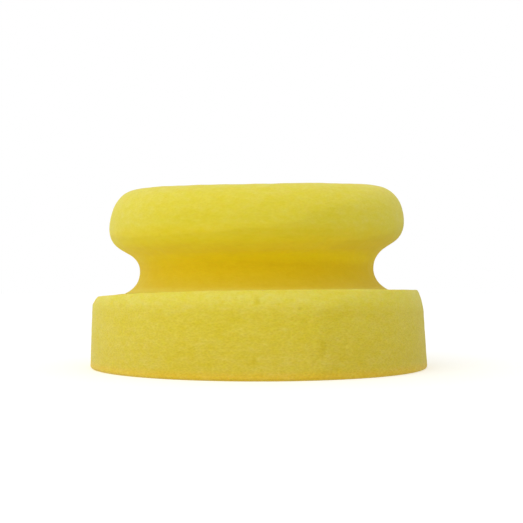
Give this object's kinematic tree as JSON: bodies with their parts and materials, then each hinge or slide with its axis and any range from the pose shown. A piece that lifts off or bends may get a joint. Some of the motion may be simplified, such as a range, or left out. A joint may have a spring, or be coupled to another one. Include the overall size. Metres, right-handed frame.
{
  "type": "foam hand applicator",
  "caption": "Round foam hand applicator: a flat applicator pad bonded under a waisted foam grip with a finger groove all the way round.",
  "frame": {"origin": "centre of the pad's flat working face", "axes": "+Z along the axis of revolution, from the working face up to the grip; X and Y are two equal directions across the disc, with -Y towards the viewer of the picture"},
  "size_m": [0.11, 0.11, 0.0588],
  "materials": {
    "pad_foam": "matte",
    "adhesive": "satin",
    "grip_foam": "matte"
  },
  "bodies": {
    "pad": {"applicator_pad": "pad_foam"},
    "grip": {"adhesive_film": "adhesive", "foam_grip": "grip_foam"}
  },
  "joints": [
    {"name": "pad_squash", "type": "slide", "parent": "pad", "child": "grip", "axis": [0, 0, 1], "range_m": [-0.008, 0], "stiffness_N_per_m": 4000, "deforming": ["applicator_pad"]}
  ]
}
